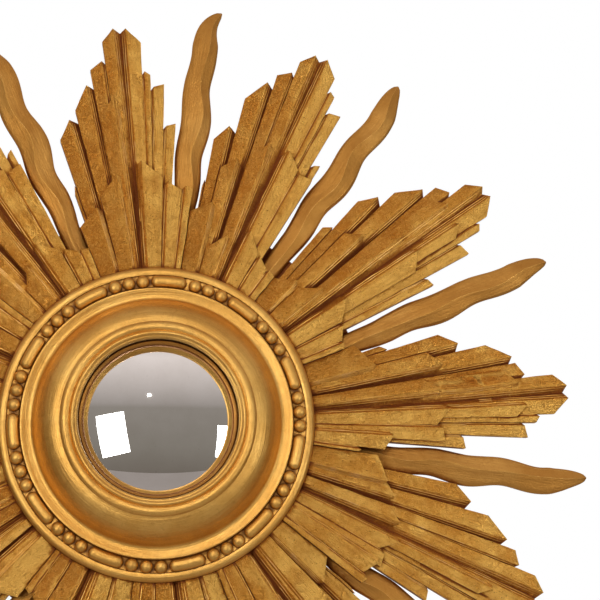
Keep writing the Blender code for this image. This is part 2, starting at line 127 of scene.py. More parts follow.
# Flames: sizes, and for each its direction, wave and sideways sway of the tip, clockwise
FLAME_ROOT = 0.190
FLAME_REACH = 0.4516
FLAME_ROOT_WIDTH = 0.0185
FLAME_WIDTH = 0.0275
FLAME_WIDENING = 0.070
FLAME_SWELL = 0.0045
FLAME_SWELL_AT = 0.322
FLAME_SWELL_SPREAD = 0.030
FLAME_TIP = 0.040
FLAME_WAVE_LENGTH = 0.076
FLAME_WAVE_CREST_AT = 0.360
FLAME_EDGE_THICK = 0.0058
FLAME_RISE = 0.0042
FLAME_CREST = 0.0006
FLAME_EDGE_DROP = 0.0010
FLAME_ARRIS = 0.0005
FLAME_WAVER = 0.00022
FLAMES = (
    (84.1, 0.0018, -0.0158),
    (55.0, 0.0022, 0.0050),
    (23.8, 0.0016, -0.0010),
    (-7.3, 0.0020, 0.0080),
    (-36.1, 0.0020, -0.0120),
    (-66.0, 0.0022, 0.0050),
    (-95.0, 0.0016, -0.0060),
    (-126.0, 0.0022, 0.0030),
    (-157.3, 0.0020, -0.0130),
    (173.9, 0.0022, 0.0045),
    (144.2, 0.0018, -0.0060),
    (115.1, 0.0026, 0.0060),
)

# How far each flame's ridge lies to its left, as a share of half its width
FLAME_RIDGES = (-0.30, -0.05, -0.15, 0.10, -0.20, 0.10, -0.10, 0.20, -0.15, 0.05, -0.20, 0.10)

# How far a point looks out for hollows, and how dark they come out on each kind of piece: glaze and bole
# with painted shade in the hollows and where parts meet, and painted shade on the rays' steep falls
OUTLOOK = 0.010
OUTLOOK_DIRECTIONS = 18
HOLLOW_DEPTH = 1.35
FRAME_HOLLOW_DEPTH = 0.98
FALL_PAINTED_SHADE = 0.36


# Working in edit mode

def work_on(piece):
    """Select one piece alone and make it active."""
    if bpy.context.object and bpy.context.object.mode != "OBJECT":
        bpy.ops.object.mode_set(mode="OBJECT")
    bpy.ops.object.select_all(action="DESELECT")
    bpy.context.view_layer.objects.active = piece
    piece.select_set(True)


def edit_all(piece):
    work_on(piece)
    bpy.ops.object.mode_set(mode="EDIT")
    bpy.ops.mesh.select_all(action="SELECT")


def leave_edit():
    bpy.ops.object.mode_set(mode="OBJECT")


def apply_all(piece):
    work_on(piece)
    for modifier in list(piece.modifiers):
        bpy.ops.object.modifier_apply(modifier=modifier.name)


def settle(piece):
    """Put the piece's place, turn and size into its mesh."""
    work_on(piece)
    bpy.ops.object.transform_apply(location=True, rotation=True, scale=True)


def close_and_face_out(piece):
    edit_all(piece)
    bpy.ops.mesh.remove_doubles(threshold=0.00001)
    bpy.ops.mesh.normals_make_consistent(inside=False)
    leave_edit()


def join(pieces, name):
    work_on(pieces[0])
    for piece in pieces[1:]:
        piece.select_set(True)
    bpy.ops.object.join()
    pieces[0].name = name
    return pieces[0]


def polar(radius, angle, height):
    """A point by its distance from the middle, direction in degrees and height off the wall."""
    return Vector((radius * cos(radians(angle)), -height, radius * sin(radians(angle))))


def dress(piece, node, slot, *materials):
    """Give the piece its finishes and its place in the frame."""
    kept = [polygon.material_index for polygon in piece.data.polygons]
    piece.data.materials.clear()
    for material in materials:
        piece.data.materials.append(material)
    piece.data.polygons.foreach_set("material_index", kept)
    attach(piece, "root")
    if node:
        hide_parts(node)
    return piece


# Shared effects

# Radius at which the strokes' spacing round the mirror is true
MIDDLE_RADIUS = 0.25

# Noise sizes of the leaf: specks, painted pale as glints, crumpling and worn patches, per metre
SPECK_SCALE = 560.0
CRINKLE_SCALE = 170.0
PATCH_SCALE = 62.0


def new_group(name, inputs, outputs):
    group = bpy.data.node_groups.new(name, "ShaderNodeTree")
    for label, kind, value in inputs:
        socket = group.interface.new_socket(name=label, in_out="INPUT", socket_type=kind)
        socket.default_value = value
    for label, kind in outputs:
        group.interface.new_socket(name=label, in_out="OUTPUT", socket_type=kind)
    return group


def add_node(tree, kind, inputs=None, **settings):
    """Add a node, set its properties, and link or set its inputs."""
    node = tree.nodes.new(kind)
    for key, value in settings.items():
        setattr(node, key, value)
    for key, value in (inputs or {}).items():
        socket = node.inputs[key]
        if isinstance(value, bpy.types.NodeSocket):
            tree.links.new(value, socket)
        else:
            socket.default_value = value
    return node


def sums(tree, operation, first, second=0.0, third=0.0, clamp=False):
    node = add_node(tree, "ShaderNodeMath", operation=operation, use_clamp=clamp)
    for socket, value in zip(node.inputs, (first, second, third)):
        if isinstance(value, bpy.types.NodeSocket):
            tree.links.new(value, socket)
        else:
            socket.default_value = value
    return node.outputs[0]


def plus(tree, first, second, clamp=False):
    return sums(tree, "ADD", first, second, clamp=clamp)


def minus(tree, first, second):
    return sums(tree, "SUBTRACT", first, second)


def times(tree, first, second):
    return sums(tree, "MULTIPLY", first, second)


def blend_colours(tree, share, first, second):
    node = add_node(tree, "ShaderNodeMix", data_type="RGBA", blend_type="MIX")
    sockets = (node.inputs["Factor"], node.inputs[6], node.inputs[7])
    for socket, value in zip(sockets, (share, first, second)):
        if isinstance(value, bpy.types.NodeSocket):
            tree.links.new(value, socket)
        else:
            socket.default_value = value
    return node.outputs[2]


def ranged(tree, value, low, high, out_low=0.0, out_high=1.0):
    limits = {0: value, 1: low, 2: high, 3: out_low, 4: out_high}
    return add_node(tree, "ShaderNodeMapRange", limits).outputs[0]


def mottle(tree, place, scale, detail, roughness=0.5, distortion=0.0):
    return add_node(tree, "ShaderNodeTexNoise", {
        "Vector": place, "Scale": scale, "Detail": detail, "Roughness": roughness,
        "Distortion": distortion}).outputs["Fac"]


def build_strokes_group():
    """Fine lines left by the brush and the gouge, along the rays or round the turned frame."""
    group = new_group("brush_strokes", [
        ("Along Ray", "NodeSocketFloat", 1.0),
        ("Lines Across", "NodeSocketFloat", 900.0),
        ("Lines Along", "NodeSocketFloat", 35.0),
    ], [("Strokes", "NodeSocketFloat"), ("Broad", "NodeSocketFloat")])
    tree = group
    source = add_node(tree, "NodeGroupInput").outputs
    target = add_node(tree, "NodeGroupOutput")
    place = add_node(tree, "ShaderNodeTexCoord").outputs["Object"]
    x, y, z = add_node(tree, "ShaderNodeSeparateXYZ", {0: place}).outputs
    radius = sums(tree, "SQRT", plus(tree, times(tree, x, x), times(tree, z, z)))
    turn = times(tree, sums(tree, "ARCTAN2", z, x), MIDDLE_RADIUS)
    across, along = source["Lines Across"], source["Lines Along"]
    choice = source["Along Ray"]
    other = minus(tree, 1.0, choice)
    radius_rate = plus(tree, times(tree, along, choice), times(tree, across, other))
    turn_rate = plus(tree, times(tree, across, choice), times(tree, along, other))
    vector = add_node(tree, "ShaderNodeCombineXYZ", {
        0: times(tree, radius, radius_rate),
        1: times(tree, turn, turn_rate),
        2: times(tree, y, across)}).outputs[0]
    tree.links.new(mottle(tree, vector, 1.0, 3.0, 0.6), target.inputs["Strokes"])
    tree.links.new(mottle(tree, vector, 0.22, 2.0), target.inputs["Broad"])
    return group


def build_gilding_group():
    """Toned gold leaf: clouded leaf on the faces, glaze and bole with painted shade in the hollows and on
    steep falls, faces painted paler or browner by their lean as painted light and shade, and pale specks and
    creases as painted glints.
    """
    group = new_group("toned_leaf", [
        ("Leaf", "NodeSocketColor", (0.5, 0.25, 0.06, 1.0)),
        ("Pale Leaf", "NodeSocketColor", (0.6, 0.36, 0.12, 1.0)),
        ("Glaze", "NodeSocketColor", (0.3, 0.12, 0.02, 1.0)),
        ("Bole", "NodeSocketColor", (0.2, 0.05, 0.01, 1.0)),
        ("Hollow", "NodeSocketFloat", 0.0),
        ("Strokes", "NodeSocketFloat", 0.5),
        ("Broad", "NodeSocketFloat", 0.5),
        ("Cloud Size", "NodeSocketFloat", 28.0),
        ("Stroke Share", "NodeSocketFloat", 0.5),
        ("Satin", "NodeSocketFloat", 0.4),
        ("Crumple", "NodeSocketFloat", 0.5),
        ("Painted Lean Light", "NodeSocketFloat", 0.0),
    ], [("Colour", "NodeSocketColor"), ("Roughness", "NodeSocketFloat"), ("Metal", "NodeSocketFloat"),
        ("Relief", "NodeSocketFloat")])
    tree = group
    source = add_node(tree, "NodeGroupInput").outputs
    target = add_node(tree, "NodeGroupOutput")
    place = add_node(tree, "ShaderNodeTexCoord").outputs["Object"]
    clouds = mottle(tree, place, source["Cloud Size"], 4.0, 0.55)
    specks = mottle(tree, place, SPECK_SCALE, 3.0, 0.7)
    crinkle = mottle(tree, place, CRINKLE_SCALE, 3.0, 0.6, 1.1)
    crease = sums(tree, "ABSOLUTE", minus(tree, crinkle, 0.5))
    patches = mottle(tree, place, PATCH_SCALE, 3.0, 0.6, 0.5)

    # Painted light and shade by lean: faces that lean right and down are painted paler, as if lit, and faces
    # that lean left and up are painted browner, as shade
    facing = add_node(tree, "ShaderNodeTexCoord").outputs["Normal"]
    turned = add_node(tree, "ShaderNodeSeparateXYZ", {0: facing}).outputs
    lean = minus(tree, turned[0], times(tree, turned[2], 0.55))
    painted_lean_sheen = times(tree, ranged(tree, lean, 0.02, 0.15, 0.0, 0.8), source["Painted Lean Light"])
    pale = plus(tree, ranged(tree, clouds, 0.46, 0.70), painted_lean_sheen, clamp=True)
    colour = blend_colours(tree, pale, source["Leaf"], source["Pale Leaf"])
    painted_lean_shade = times(tree, ranged(tree, lean, -0.15, 0.0, 0.65, 0.0), source["Painted Lean Light"])
    colour = blend_colours(tree, painted_lean_shade, colour, source["Glaze"])

    # Patches, strokes and crinkle toned with glaze, then pale crease lines and pale specks as painted glints
    colour = blend_colours(tree, ranged(tree, patches, 0.50, 0.74, 0.0, 0.22), colour, source["Glaze"])
    streak = times(tree, ranged(tree, source["Broad"], 0.52, 0.74), source["Stroke Share"])
    colour = blend_colours(tree, streak, colour, source["Glaze"])
    scratch = times(tree, ranged(tree, source["Strokes"], 0.56, 0.74), source["Stroke Share"])
    colour = blend_colours(tree, times(tree, scratch, 0.6), colour, source["Glaze"])
    colour = blend_colours(tree, ranged(tree, crinkle, 0.56, 0.70, 0.0, 0.25), colour, source["Glaze"])
    # Painted glints: pale leaf along the crumple's creases, and below it on fine specks
    painted_crease_glint = times(tree, ranged(tree, crease, 0.0, 0.018, 1.0, 0.0), source["Crumple"])
    colour = blend_colours(tree, painted_crease_glint, colour, source["Pale Leaf"])
    colour = blend_colours(tree, ranged(tree, specks, 0.60, 0.72, 0.0, 0.50), colour, source["Pale Leaf"])

    # Glaze gathers in the hollows and the deepest show the bole, and the same darkening is painted shade in
    # the hollows, where parts meet and on the rays' steep falls
    closed = plus(tree, source["Hollow"], ranged(tree, crinkle, 0.3, 0.7, -0.10, 0.10))
    glaze_and_painted_shade = times(tree, ranged(tree, closed, 0.24, 0.52), 0.8)
    colour = blend_colours(tree, glaze_and_painted_shade, colour, source["Glaze"])
    deep = ranged(tree, closed, 0.44, 0.80)
    colour = blend_colours(tree, deep, colour, source["Bole"])
    rough = plus(tree, source["Satin"], ranged(tree, specks, 0.3, 0.7, -0.08, 0.08))
    rough = plus(tree, rough, times(tree, deep, 0.16))
    rough = plus(tree, rough, times(tree, patches, 0.10), clamp=True)
    metal = ranged(tree, deep, 0.0, 1.0, 1.0, 0.6)

    scored = times(tree, source["Strokes"], times(tree, source["Stroke Share"], 2.5))
    relief = plus(tree, scored, times(tree, specks, 0.30))
    relief = plus(tree, relief, times(tree, crinkle, 0.30))
    relief = minus(tree, relief, times(tree, crease, times(tree, source["Crumple"], 2.4)))
    tree.links.new(colour, target.inputs["Colour"])
    tree.links.new(rough, target.inputs["Roughness"])
    tree.links.new(metal, target.inputs["Metal"])
    tree.links.new(relief, target.inputs["Relief"])
    return group


STROKES = build_strokes_group()
GILDING = build_gilding_group()


def new_material(name):
    material = bpy.data.materials.new(name)
    material.use_nodes = True
    return material, material.node_tree, material.node_tree.nodes["Principled BSDF"]


def gilt(name, leaf, pale, glaze, bole, satin, along_ray, across, along, share, clouds, relief,
         crumple, painted_lean_light=0.0):
    """A gilded finish, with its own colours, stroke direction and relief in metres."""
    material, tree, shader = new_material(name)
    hollow = add_node(tree, "ShaderNodeAttribute", attribute_name="hollow").outputs["Fac"]
    strokes = add_node(tree, "ShaderNodeGroup", {
        "Along Ray": along_ray, "Lines Across": across, "Lines Along": along}, node_tree=STROKES).outputs
    leafing = add_node(tree, "ShaderNodeGroup", {
        "Leaf": (*leaf, 1.0), "Pale Leaf": (*pale, 1.0), "Glaze": (*glaze, 1.0), "Bole": (*bole, 1.0),
        "Hollow": hollow, "Strokes": strokes["Strokes"], "Broad": strokes["Broad"],
        "Cloud Size": clouds, "Stroke Share": share, "Satin": satin, "Crumple": crumple,
        "Painted Lean Light": painted_lean_light}, node_tree=GILDING).outputs
    bump = add_node(tree, "ShaderNodeBump", {
        "Height": leafing["Relief"], "Distance": relief, "Strength": 1.0})
    tree.links.new(leafing["Colour"], shader.inputs["Base Color"])
    tree.links.new(leafing["Roughness"], shader.inputs["Roughness"])
    tree.links.new(leafing["Metal"], shader.inputs["Metallic"])
    tree.links.new(bump.outputs["Normal"], shader.inputs["Normal"])
    return material


LEAF = (0.62, 0.290, 0.048)
PALE_LEAF = (0.84, 0.490, 0.110)
GLAZE = (0.42, 0.140, 0.016)
BOLE = (0.24, 0.062, 0.007)

# The rays take painted light and shade by the lean of each face
GILT_RAYS = gilt("gilt_rays", LEAF, PALE_LEAF, GLAZE, BOLE, satin=0.29, along_ray=1.0, across=1000.0,
                 along=80.0, share=0.32, clouds=34.0, relief=0.0015, crumple=0.65, painted_lean_light=1.0)
# Paler leaf for the arrises and the reeds: partly worn toning, partly painted highlight
GILT_ARRIS_WEAR_AND_HIGHLIGHT = gilt("gilt_arris_wear_and_highlight", PALE_LEAF, (0.92, 0.62, 0.24), LEAF, GLAZE, satin=0.30, along_ray=1.0,
                  across=900.0, along=60.0, share=0.3, clouds=60.0, relief=0.0004, crumple=0.2)
GILT_FLAMES = gilt("gilt_flames", (0.54, 0.262, 0.056), (0.64, 0.34, 0.085), (0.40, 0.160, 0.027),
                   BOLE, satin=0.46, along_ray=1.0, across=700.0, along=40.0, share=0.25, clouds=18.0,
                   relief=0.00070, crumple=0.2)
GILT_FRAME = gilt("gilt_frame", (0.70, 0.385, 0.090), (0.82, 0.51, 0.145), (0.38, 0.175, 0.038),
                  (0.16, 0.062, 0.014), satin=0.36, along_ray=0.0, across=700.0, along=10.0, share=0.42,
                  clouds=16.0, relief=0.00042, crumple=0.35)
GILT_SLIP = gilt("gilt_slip", (0.50, 0.225, 0.042), (0.58, 0.29, 0.07), (0.34, 0.13, 0.02), BOLE,
                 satin=0.42, along_ray=0.0, across=800.0, along=12.0, share=0.4, clouds=30.0,
                 relief=0.00022, crumple=0.2)


def silvered_glass():
    """Old silvering under convex glass, a little clouded and spotted."""
    material, tree, shader = new_material("silvered_glass")
    place = add_node(tree, "ShaderNodeTexCoord").outputs["Object"]
    haze = mottle(tree, place, 38.0, 5.0, 0.6)
    spots = mottle(tree, place, 420.0, 2.0)
    tint = blend_colours(tree, ranged(tree, haze, 0.35, 0.7), (0.90, 0.90, 0.895, 1.0),
                         (0.84, 0.835, 0.82, 1.0))
    tint = blend_colours(tree, ranged(tree, spots, 0.72, 0.80, 0.0, 0.35), tint, (0.45, 0.43, 0.40, 1.0))
    tree.links.new(tint, shader.inputs["Base Color"])
    tree.links.new(ranged(tree, haze, 0.3, 0.8, 0.008, 0.03), shader.inputs["Roughness"])
    shader.inputs["Metallic"].default_value = 1.0
    shader.inputs["Coat Weight"].default_value = 0.6
    shader.inputs["Coat Roughness"].default_value = 0.02
    return material


def board_wood():
    """Dark stained softwood with its grain upright and some dust on it."""
    material, tree, shader = new_material("board_wood")
    place = add_node(tree, "ShaderNodeTexCoord").outputs["Object"]
    grain = add_node(tree, "ShaderNodeMapping", {"Vector": place, "Scale": (60.0, 60.0, 3.5)}).outputs[0]
    rings = mottle(tree, grain, 1.0, 6.0, 0.6, 0.8)
    fibres = add_node(tree, "ShaderNodeMapping", {"Vector": place, "Scale": (900.0, 900.0, 30.0)}).outputs[0]
    pores = mottle(tree, fibres, 1.0, 3.0)
    dust = mottle(tree, place, 9.0, 5.0)
    wood = blend_colours(tree, ranged(tree, rings, 0.35, 0.65), (0.16, 0.085, 0.040, 1.0),
                         (0.27, 0.155, 0.080, 1.0))
    wood = blend_colours(tree, ranged(tree, pores, 0.55, 0.75, 0.0, 0.6), wood, (0.07, 0.035, 0.016, 1.0))
    wood = blend_colours(tree, ranged(tree, dust, 0.45, 0.75, 0.0, 0.30), wood, (0.36, 0.30, 0.24, 1.0))
    bump = add_node(tree, "ShaderNodeBump", {
        "Height": minus(tree, rings, times(tree, pores, 0.5)),
        "Distance": 0.0006, "Strength": 0.8})
    tree.links.new(wood, shader.inputs["Base Color"])
    tree.links.new(ranged(tree, rings, 0.3, 0.7, 0.62, 0.80), shader.inputs["Roughness"])
    tree.links.new(bump.outputs["Normal"], shader.inputs["Normal"])
    return material


SILVERED_GLASS = silvered_glass()
BOARD_WOOD = board_wood()


# Turned pieces

def turn_on_lathe(name, profile, steps):
    """Spin a closed profile of (radius, height off the wall) round the mirror's axis."""
    bpy.ops.object.select_all(action="DESELECT")
    bpy.ops.mesh.primitive_circle_add(vertices=len(profile), radius=0.01, fill_type="NOTHING")
    piece = bpy.context.object
    piece.name = name
    for vert, (radius, height) in zip(piece.data.vertices, profile):
        vert.co = polar(radius, 0.0, height)
    edit_all(piece)
    bpy.ops.mesh.spin(steps=steps, angle=2 * pi, center=(0.0, 0.0, 0.0), axis=(0.0, 1.0, 0.0),
                      use_auto_merge=True)
    bpy.ops.mesh.select_all(action="SELECT")
    bpy.ops.mesh.remove_doubles(threshold=0.00001)
    bpy.ops.mesh.normals_make_consistent(inside=False)
    leave_edit()
    return piece


def bow(start, end, rise, steps):
    """Points from start to end along an arc that stands out by rise, the ends included."""
    length = hypot(end[0] - start[0], end[1] - start[1])
    across = (-(end[1] - start[1]) / length, (end[0] - start[0]) / length)
    points = []
    for i in range(steps + 1):
        share = i / steps
        lift = rise * 4 * share * (1 - share)
        points.append((start[0] + (end[0] - start[0]) * share + across[0] * lift,
                       start[1] + (end[1] - start[1]) * share + across[1] * lift))
    return points


def frame_section():
    """The frame's section, from the sight edge out over the front and back along the wall."""
    rebate = OPENING + REBATE_DEPTH
    sight_edge = [(rebate, SEAT_HEIGHT), (rebate, 0.0726), (OPENING, 0.0742), (OPENING, 0.0752),
                  (OPENING + 0.0003, 0.0762)]
    torus = bow((0.0791, 0.0770), (0.0812, 0.0790), 0.0006, 5)
    torus += bow((0.0814, 0.0787), (0.0866, 0.0793), 0.0026, 9)[1:]
    reed = bow((0.0868, 0.0789), (0.0958, 0.0778), 0.0022, 10) + [(0.0961, 0.0772)]
    lip = [(0.1355, 0.0482), (0.1361, 0.0470), (0.1365, 0.0450), (0.1369, 0.0438)]
    band = bow((0.1375, 0.0434), (0.1480, 0.0434), 0.0002, 3) + [(0.1488, 0.0437), (0.1492, 0.0446)]
    rim = bow((0.1496, 0.0452), (0.1581, 0.0418), 0.0019, 9)
    rim += bow((0.1580, 0.0410), (0.1572, RIM_UNDERSIDE), 0.0002, 3)
    back = [(RIM_BACK, RIM_UNDERSIDE), (RIM_BACK, CARRIED_FROM), (SEAT_RADIUS, CARRIED_FROM),
            (SEAT_RADIUS, SEAT_HEIGHT)]
    return sight_edge + torus + reed + OGEE + lip + band + rim + back


def ring_round(rod, count):
    """Cut rings round a rod that stands one metre high, so that it has this many even lengths."""
    edit_all(rod)
    for i in range(1, count):
        bpy.ops.mesh.select_all(action="SELECT")
        bpy.ops.mesh.bisect(plane_co=(0.0, 0.0, i / count - 0.5), plane_no=(0.0, 0.0, 1.0))
    leave_edit()


def carve_bead(angle, size):
    """A round bead, sunk a little into the band."""
    bpy.ops.object.select_all(action="DESELECT")
    bpy.ops.mesh.primitive_uv_sphere_add(segments=20, ring_count=12, radius=size,
                                         location=polar(BAND_RADIUS, angle, BAND_HEIGHT - SUNK))
    bead = bpy.context.object
    settle(bead)
    return bead


def carve_reel(angle, span):
    """A long reel: a rod drawn out of a cylinder and bent round the band, its ends rounded."""
    bpy.ops.object.select_all(action="DESELECT")
    bpy.ops.mesh.primitive_cylinder_add(vertices=18, radius=1.0, depth=1.0, end_fill_type="TRIFAN")
    reel = bpy.context.object
    ring_round(reel, REEL_LENGTHS)
    end_share = REEL_SIZE * REEL_END / (radians(span) * BAND_RADIUS)
    for vert in reel.data.vertices:
        share = vert.co.z
        to_end = max(0.0, (0.5 - abs(share)) / end_share)
        fullness = sqrt(max(0.0, 1.0 - (1.0 - min(1.0, to_end)) ** 2))
        swell = max(REEL_END_FULLNESS, fullness)
        out = BAND_RADIUS + vert.co.x * REEL_SIZE * swell
        up = BAND_HEIGHT - SUNK + vert.co.y * REEL_SIZE * swell
        vert.co = polar(out, angle + share * span, up)
    close_and_face_out(reel)
    return reel


def wavering(angle, spread):
    """A small steady waver for hand-spaced work."""
    return spread * noise.noise(Vector((angle * 0.37, 4.1, 0.7)))


def make_frame():
    parts = [turn_on_lathe("turned_frame", frame_section(), FRAME_FACETS)]
    step = 360.0 / BEAD_GROUPS
    for group in range(BEAD_GROUPS):
        angle = FIRST_REEL + group * step
        parts.append(carve_reel(angle + wavering(angle, SPACING_WAVER), REEL_SPAN))
        for bead in (-1, 0, 1):
            place = angle + step / 2 + bead * BEAD_PITCH
            size = BEAD_SIZE * (1 + wavering(place + 9, SIZE_WAVER))
            parts.append(carve_bead(place + wavering(place, SPACING_WAVER), size))
    piece = join(parts, "turned_frame")
    work_on(piece)
    bpy.ops.object.shade_smooth_by_angle(angle=radians(38))
    return dress(piece, "frame_ring", "gilt_frame", GILT_FRAME)


def glass_height(radius):
    """How far the glass's front stands off the wall at a radius."""
    edge = GLASS_CURVE - sqrt(GLASS_CURVE ** 2 - GLASS_RADIUS ** 2)
    here = GLASS_CURVE - sqrt(GLASS_CURVE ** 2 - radius ** 2)
    return GLASS_BACK + GLASS_THICK + edge - here


def make_glass():
    """Blown convex glass: front and back faces of the same sweep, with a ground edge."""
    radii = [max(GLASS_RADIUS * i / GLASS_RINGS, 0.00001) for i in range(GLASS_RINGS + 1)]
    profile = [(radius, glass_height(radius)) for radius in radii]
    profile += [(radius, height - GLASS_THICK) for radius, height in reversed(profile)]
    piece = turn_on_lathe("convex_glass", profile, GLASS_FACETS)
    edit_all(piece)
    bpy.ops.mesh.remove_doubles(threshold=0.00005)
    bpy.ops.mesh.normals_make_consistent(inside=False)
    leave_edit()
    work_on(piece)
    bpy.ops.object.shade_smooth_by_angle(angle=radians(50))
    return dress(piece, "mirror_glass", "silvered_glass", SILVERED_GLASS)


def make_slip():
    """The thin slip that lies on the glass's edge and rises to the frame."""
    back = glass_height(SLIP_INNER) + SLIP_GAP
    outer = SLIP_OUTER - 0.0003
    points = [(SLIP_INNER, back), (SLIP_INNER, back + 0.0008)]
    points += bow((SLIP_INNER + 0.0002, back + 0.0010), (SLIP_OUTER - 0.0008, back + 0.0050), 0.0004, 6)
    points += [(outer, back + 0.0044), (outer, back)]
    piece = turn_on_lathe("gilt_slip_ring", points, RIM_FACETS)
    work_on(piece)
    bpy.ops.object.shade_smooth_by_angle(angle=radians(35))
    return dress(piece, "slip_ring", "gilt_slip", GILT_SLIP)


def make_board():
    """The round board, gilded in front and bare at the edge and the back."""
    flat = BOARD_RADIUS - BOARD_EDGE_WIDTH
    points = [(AXLE, 0.0), (flat, 0.0), (BOARD_RADIUS, BOARD_EDGE_DEPTH),
              (BOARD_RADIUS, BOARD_THICK - BOARD_EDGE_DEPTH), (flat, BOARD_THICK), (AXLE, BOARD_THICK)]
    piece = turn_on_lathe("round_board", points, RIM_FACETS)
    edit_all(piece)
    bpy.ops.mesh.remove_doubles(threshold=0.001)
    bpy.ops.mesh.normals_make_consistent(inside=False)
    leave_edit()
    work_on(piece)
    bpy.ops.object.shade_smooth_by_angle(angle=radians(35))
    dress(piece, "back_board", "board_wood", BOARD_WOOD, GILT_SLIP)
    for face in piece.data.polygons:
        if face.normal.y < -0.3:
            face.material_index = 1
    return piece


# Carved rays

def copy_of(node, name):
    """A copy of a solid with its loose triangles merged into flat faces."""
    piece = bpy.data.objects.new(name, NODES[node].data.copy())
    bpy.context.scene.collection.objects.link(piece)
    edit_all(piece)
    bpy.ops.mesh.remove_doubles(threshold=0.00002)
    bpy.ops.mesh.dissolve_limited(angle_limit=radians(0.4))
    leave_edit()
    return piece


def stations(first, last, step):
    """Places from the first up to the last, one step apart."""
    places = []
    place = first
    while place < last:
        places.append(place)
        place += step
    return places


def cut_across(piece, angle):
    """Slice the faces into short lengths along the ray and across it, for the carver to work on."""
    out = polar(1.0, angle, 0.0)
    side = polar(1.0, angle + 90.0, 0.0)
    cuts = [(out, place) for place in stations(FIRST_CUT, LAST_CUT, CHISEL_STEP)]
    cuts += [(side, place) for place in stations(-HALF_SPREAD, HALF_SPREAD, CHISEL_STEP)]
    edit_all(piece)
    for direction, place in cuts:
        bpy.ops.mesh.select_all(action="SELECT")
        bpy.ops.mesh.bisect(plane_co=direction * place, plane_no=direction)
    leave_edit()


def unsteady_hand(piece, amount):
    """Small slow waver of the carved faces, none on the flat back."""
    for vert in piece.data.vertices:
        height = -vert.co.y
        if height < FLAT_BACK:
            continue
        drift = noise.noise_vector(vert.co * SLOW_WAVER) * amount
        drift += noise.noise_vector(vert.co * QUICK_WAVER + Vector((3.0, 7.0, 1.0))) * amount * QUICK_SHARE
        vert.co += drift
    return piece


def reed_runs(tree, angle, shift):
    """Stretches of a line below a crest where the crest and its fall are carved: (radius, height)."""
    side = polar(1.0, angle + 90.0, 0.0)
    uphill = side * (-REED_UPHILL if shift > 0.0 else REED_UPHILL)
    towards_wall = Vector((0.0, 1.0, 0.0))
    runs, run = [], []
    for radius in stations(RAY_ROOT + 0.002, FLAME_REACH, REED_STEP):
        above = polar(radius, angle, 0.12)
        spot, normal = tree.ray_cast(above + side * shift, towards_wall)[:2]
        top = tree.ray_cast(above + uphill, towards_wall)[1]
        on_fall = spot is not None and -spot.y > REED_LOWEST and -0.95 < normal.y < -0.4
        on_fall = on_fall and top is not None and top.y < -0.965
        if run and not (on_fall and abs(-spot.y - run[-1][1]) < REED_JUMP):
            if len(run) > REED_SHORTEST:
                runs.append(run)
            run = []
        if on_fall:
            run.append((radius, -spot.y))
    return runs


def make_reed_blank():
    """A thin rod ringed along its length, drawn out to each reed later."""
    bpy.ops.object.select_all(action="DESELECT")
    bpy.ops.mesh.primitive_cylinder_add(vertices=8, radius=1.0, depth=1.0, end_fill_type="TRIFAN")
    blank = bpy.context.object
    blank.name = "reed_blank"
    # The reeds take the paler arris finish, partly wear and partly painted highlight along them
    blank.data.materials.append(GILT_ARRIS_WEAR_AND_HIGHLIGHT)
    ring_round(blank, REED_LENGTHS)
    mark_reeds(blank, True)
    return blank


def mark_reeds(piece, is_reed):
    """Note on each face whether it belongs to a laid reed."""
    marks = piece.data.attributes.new("reed", "BOOLEAN", "FACE")
    marks.data.foreach_set("value", [is_reed] * len(piece.data.polygons))


def lay_reed(blank, run, angle, shift):
    """Lay a copy of the rod along a run, thin at both ends and a little uneven in between."""
    reed = blank.copy()
    reed.data = blank.data.copy()
    bpy.context.scene.collection.objects.link(reed)
    aside = polar(1.0, angle + 90.0, 0.0)
    for vert in reed.data.vertices:
        share = min(1.0, max(0.0, vert.co.z + 0.5))
        place = share * (len(run) - 1)
        before = min(int(place), len(run) - 2)
        radius = run[before][0] + (run[before + 1][0] - run[before][0]) * (place - before)
        height = run[before][1] + (run[before + 1][1] - run[before][1]) * (place - before)
        waver = noise.noise(Vector((radius * 60.0, angle, shift * 900.0)))
        drawn_in = min(1.0, 8 * share, 8 * (1.0 - share))
        thick = REED_THICKNESS * (0.25 + 0.75 * drawn_in) * (1.0 + 0.35 * waver)
        sideways = shift + vert.co.x * thick + REED_WAVER * waver
        vert.co = polar(radius, angle, height + vert.co.y * thick) + aside * sideways
    close_and_face_out(reed)
    return reed


def add_reeds(piece, blank, angle):
    """Cut thin reeds along the falls, as the gouge leaves them between two slats."""
    tree = BVHTree.FromPolygons([vert.co.copy() for vert in piece.data.vertices],
                                [list(polygon.vertices) for polygon in piece.data.polygons])
    mark_reeds(piece, False)
    parts = [piece]
    for crest in CRESTS:
        for shift in REED_SHIFTS:
            downhill = -shift if crest > 0.0 else shift
            for run in reed_runs(tree, angle + crest, downhill):
                parts.append(lay_reed(blank, run, angle + crest, downhill))
    return join(parts, piece.name)


def leave_back_bare(piece):
    """Leave the sawn back as stained wood, the piece's third finish."""
    for face in piece.data.polygons:
        if face.normal.y > 0.95 and -face.center.y < FLAT_BACK:
            face.material_index = 2
    return piece


def soften_arrises(piece, width, sharper_than, face_finish, arris_wear_and_highlight):
    """Round over the edges that are sharper than an angle, and give them a paler finish of their own: partly
    toning worn off the arrises, partly painted highlight.
    """
    piece.data.materials.clear()
    piece.data.materials.append(face_finish)
    piece.data.materials.append(arris_wear_and_highlight)
    arris = piece.modifiers.new("arris", "BEVEL")
    arris.width = width
    arris.segments = 2
    arris.limit_method = "ANGLE"
    arris.angle_limit = radians(sharper_than)
    arris.material = 1
    arris.use_clamp_overlap = True
    apply_all(piece)


